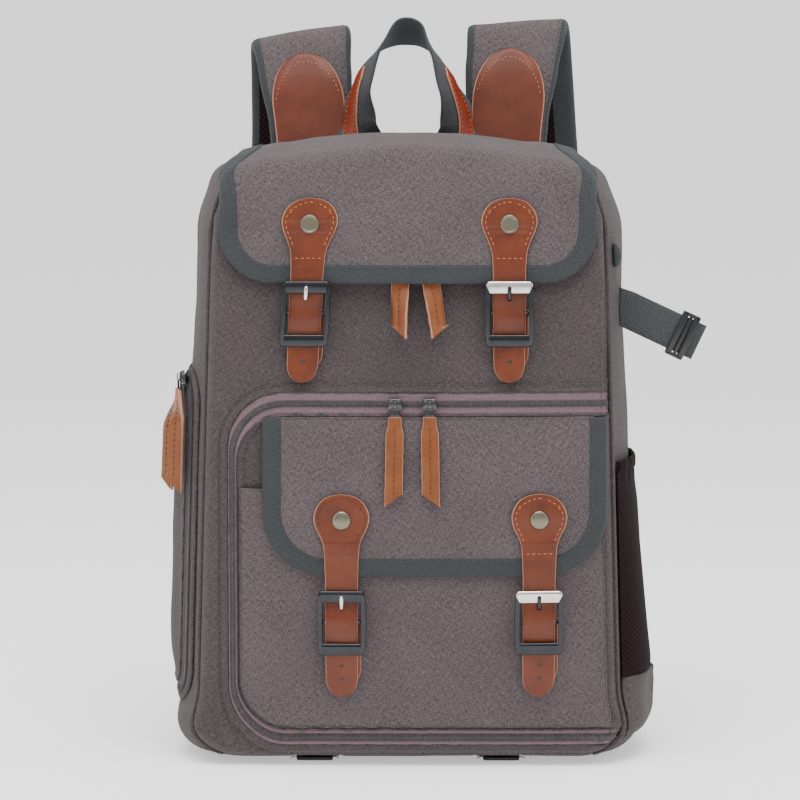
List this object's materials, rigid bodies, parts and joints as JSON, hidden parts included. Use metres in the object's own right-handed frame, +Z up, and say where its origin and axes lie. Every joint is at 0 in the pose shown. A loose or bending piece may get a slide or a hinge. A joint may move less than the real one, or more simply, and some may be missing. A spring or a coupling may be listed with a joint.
{
  "type": "camera backpack",
  "caption": "Upright canvas camera backpack with a bound top flap, leather buckle straps, a zipped front door, side pockets, padded shoulder straps and a webbing grab handle.",
  "frame": {"origin": "on the floor, under the middle of the flat base", "axes": "+Z up, the front with the buckles faces -Y, +X to the viewer's right"},
  "size_m": [0.3886, 0.2609, 0.525],
  "materials": {
    "canvas": "heathered grey-mauve cotton canvas, matt",
    "binding": "slate herringbone tape, matt",
    "webbing": "charcoal webbing, matt",
    "back_mesh": "dark maroon spacer mesh, matt",
    "pocket_mesh": "dark maroon mesh, matt",
    "base_fabric": "dark coated fabric, matt",
    "zip": "mauve woven tape with a nylon coil",
    "leather": "smooth tan leather, satin",
    "handle_leather": "orange-red leather, satin",
    "buckle_metal": "polished gunmetal",
    "rivet_metal": "brushed antique nickel",
    "slider_metal": "plated zinc",
    "plastic": "black moulded plastic"
  },
  "bodies": {
    "root": {"back_panel": "back_mesh", "base_panel": "base_fabric", "base_strap_left": "webbing", "base_strap_right": "webbing", "closure_buckle_lower_left": "buckle_metal", "closure_buckle_lower_right": "buckle_metal", "closure_buckle_upper_left": "buckle_metal", "closure_buckle_upper_right": "buckle_metal", "closure_rivet_lower_left": "rivet_metal", "closure_rivet_lower_right": "rivet_metal", "closure_rivet_upper_left": "rivet_metal", "closure_rivet_upper_right": "rivet_metal", "closure_strap_lower_left": "leather", "closure_strap_lower_right": "leather", "closure_strap_upper_left": "leather", "closure_strap_upper_right": "leather", "closure_tab_lower_left": "leather", "closure_tab_lower_right": "leather", "closure_tab_upper_left": "leather", "closure_tab_upper_right": "leather", "compression_slider": "plastic", "compression_strap": "webbing", "door_zip": "zip", "front_door": "canvas", "front_panel": "canvas", "grab_handle": "webbing", "handle_patch_left": "handle_leather", "handle_patch_right": "handle_leather", "main_flap": "canvas", "main_flap_binding": "binding", "main_zip": "zip", "mesh_pocket": "pocket_mesh", "mesh_pocket_base": "canvas", "patch_pocket": "canvas", "pocket_flap": "canvas", "pocket_flap_binding": "binding", "shoulder_strap_left": "canvas", "shoulder_strap_right": "canvas", "side_gusset": "canvas", "side_panel": "canvas", "side_tab": "webbing", "side_zip": "zip", "strap_adjuster_left": "plastic", "strap_adjuster_right": "plastic", "strap_patch_left": "leather", "strap_patch_right": "leather", "strap_webbing_left": "webbing", "strap_webbing_right": "webbing", "zip_pull_door_left": "leather", "zip_pull_door_right": "leather", "zip_pull_main_left": "leather", "zip_pull_main_right": "leather", "zip_pull_side_front": "leather", "zip_pull_side_rear": "leather", "zip_slider_door_left": "slider_metal", "zip_slider_door_right": "slider_metal", "zip_slider_main_left": "slider_metal", "zip_slider_main_right": "slider_metal", "zip_slider_side_front": "slider_metal", "zip_slider_side_rear": "slider_metal"}
  },
  "joints": []
}
